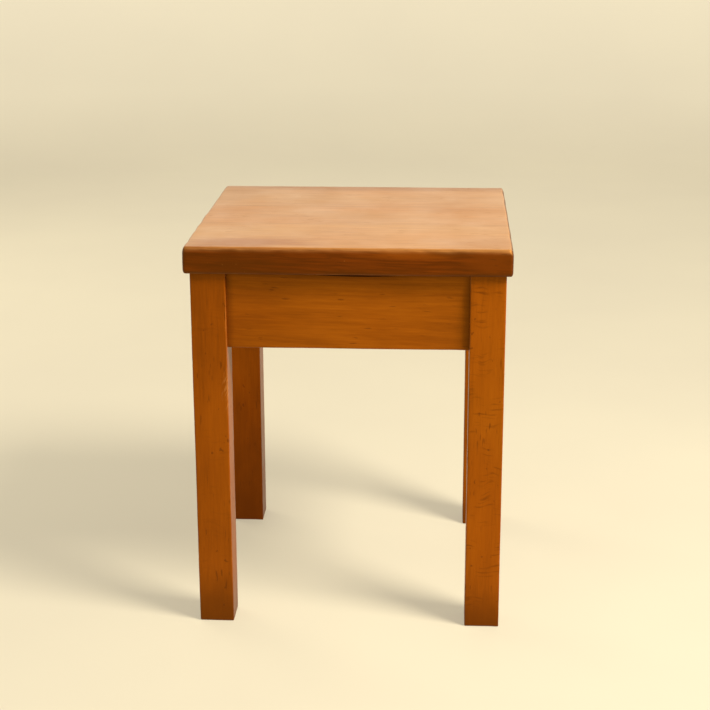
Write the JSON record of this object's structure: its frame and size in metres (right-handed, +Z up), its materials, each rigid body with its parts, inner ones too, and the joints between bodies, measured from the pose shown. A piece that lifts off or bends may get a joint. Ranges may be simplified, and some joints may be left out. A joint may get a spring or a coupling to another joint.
{
  "type": "wooden milking stool",
  "caption": "Low square-seated wooden stool: square legs, rails dowelled between them, inside corner blocks, and a thick varnished board seat.",
  "frame": {"origin": "on the floor, under the middle of the stool", "axes": "+X to the stool's right, +Y to its back, +Z up"},
  "size_m": [0.32, 0.32, 0.3975],
  "materials": {
    "seat_wood": "semi-gloss varnish over fine-grained orange-brown hardwood, grain from side to side",
    "leg_wood": "semi-gloss varnish over fine-grained orange-brown hardwood, grain up the leg",
    "rail_wood": "semi-gloss varnish over fine-grained orange-brown hardwood, grain along the rail",
    "block_wood": "bare sawn softwood, matt",
    "dowel_wood": "bare hardwood, matt",
    "screw_steel": "dull plain steel"
  },
  "bodies": {
    "root": {"block_screws_back_left": "screw_steel", "block_screws_back_right": "screw_steel", "block_screws_front_left": "screw_steel", "block_screws_front_right": "screw_steel", "corner_block_back_left": "block_wood", "corner_block_back_right": "block_wood", "corner_block_front_left": "block_wood", "corner_block_front_right": "block_wood", "dowels_back_rail_left": "dowel_wood", "dowels_back_rail_right": "dowel_wood", "dowels_front_rail_left": "dowel_wood", "dowels_front_rail_right": "dowel_wood", "dowels_left_rail_back": "dowel_wood", "dowels_left_rail_front": "dowel_wood", "dowels_right_rail_back": "dowel_wood", "dowels_right_rail_front": "dowel_wood", "leg_back_left": "leg_wood", "leg_back_right": "leg_wood", "leg_front_left": "leg_wood", "leg_front_right": "leg_wood", "rail_back": "rail_wood", "rail_front": "rail_wood", "rail_left": "rail_wood", "rail_right": "rail_wood", "seat_board_back": "seat_wood", "seat_board_front": "seat_wood", "seat_board_middle": "seat_wood", "seat_screw_back_left": "screw_steel", "seat_screw_back_right": "screw_steel", "seat_screw_front_left": "screw_steel", "seat_screw_front_right": "screw_steel"}
  },
  "joints": []
}
